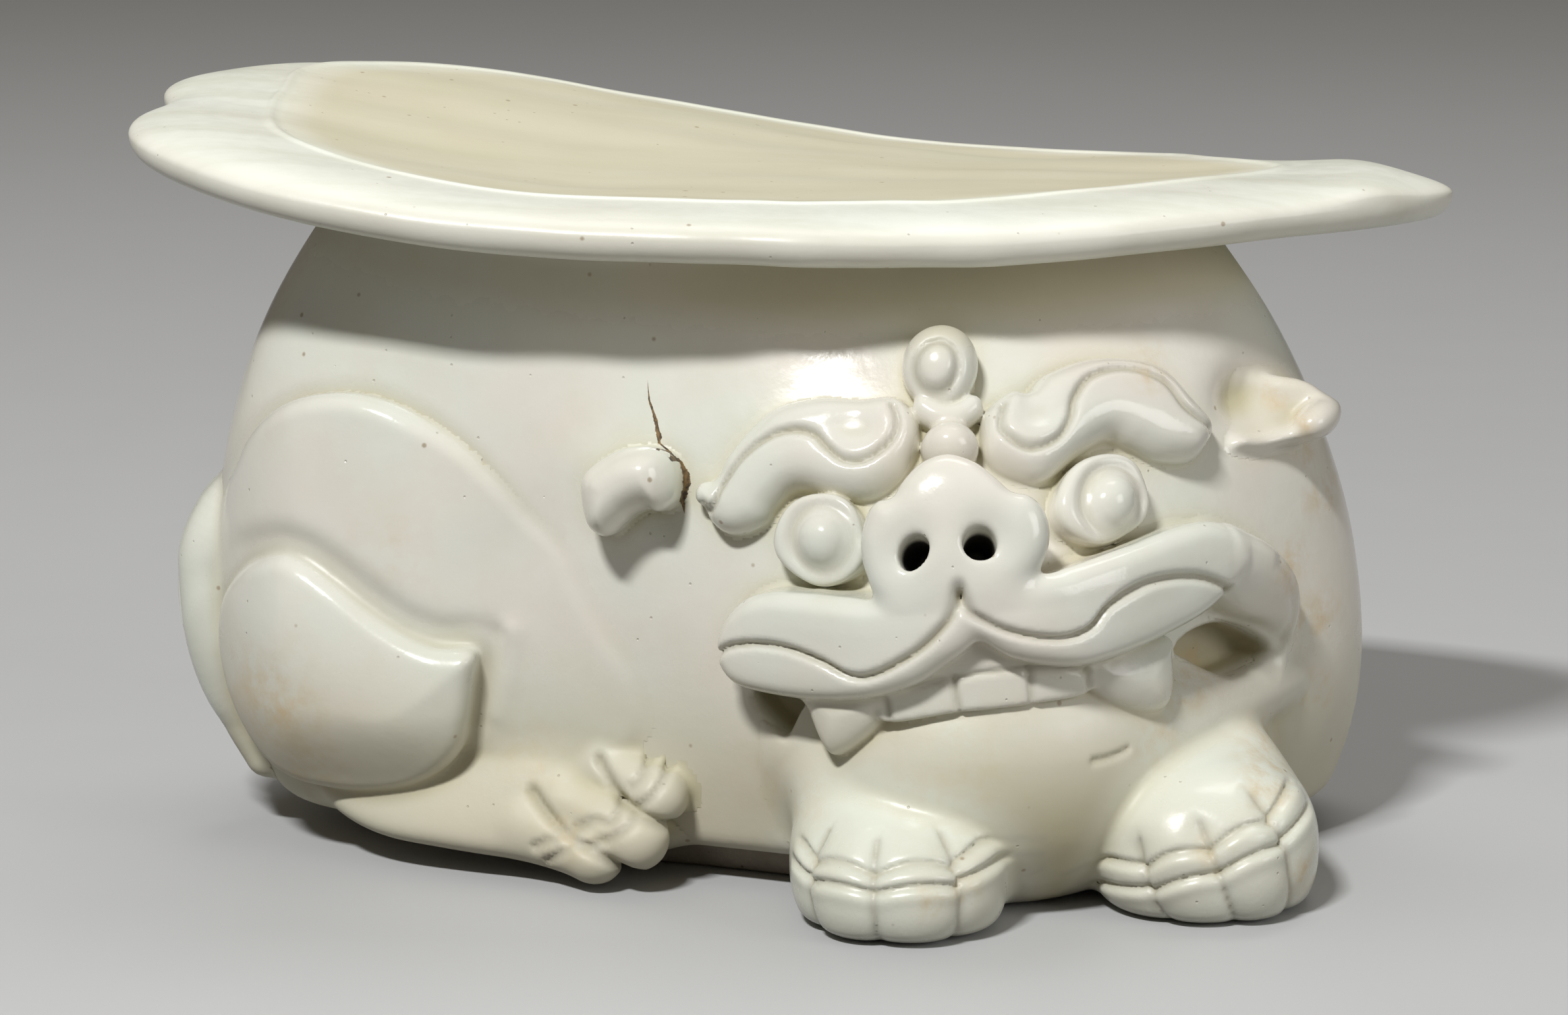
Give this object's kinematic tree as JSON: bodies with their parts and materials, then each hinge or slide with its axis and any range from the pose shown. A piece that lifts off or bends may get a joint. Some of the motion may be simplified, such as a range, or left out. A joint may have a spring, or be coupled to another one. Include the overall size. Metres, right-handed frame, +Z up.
{
  "type": "ceramic pillow",
  "caption": "White-glazed ceramic pillow: a crouching lion with a folded hind leg and a broad face carries a notched, leaf-shaped, dished headrest.",
  "frame": {"origin": "on the underside of the base slab, in the body's middle plane, where the pillow stands", "axes": "+X along the length towards the pointed end of the headrest, -Y the side with the face, +Z up"},
  "size_m": [0.2447, 0.1553, 0.1386],
  "materials": {
    "glaze": "glossy ivory-white glaze over a pale body, pooling greenish in hollows",
    "bare_clay": "unglazed fired clay, matt"
  },
  "bodies": {
    "root": {"headrest": "glaze", "body_shell": "glaze", "base_slab": "bare_clay", "near_thigh": "glaze", "near_shank": "glaze", "near_hind_paw": "glaze", "far_thigh": "glaze", "far_shank": "glaze", "far_hind_paw": "glaze", "tail": "glaze", "left_forepaw": "glaze", "right_forepaw": "glaze", "lower_jaw": "glaze", "nose": "glaze", "left_lip": "glaze", "right_lip": "glaze", "teeth": "glaze", "left_fang": "glaze", "right_fang": "glaze", "left_eye_rim": "glaze", "right_eye_rim": "glaze", "left_eyeball": "glaze", "right_eyeball": "glaze", "left_brow": "glaze", "right_brow": "glaze", "crest_knob": "glaze", "crest_collar": "glaze", "bridge_bead": "glaze", "left_ear": "glaze", "right_ear": "glaze", "right_cheek": "glaze"}
  },
  "joints": []
}
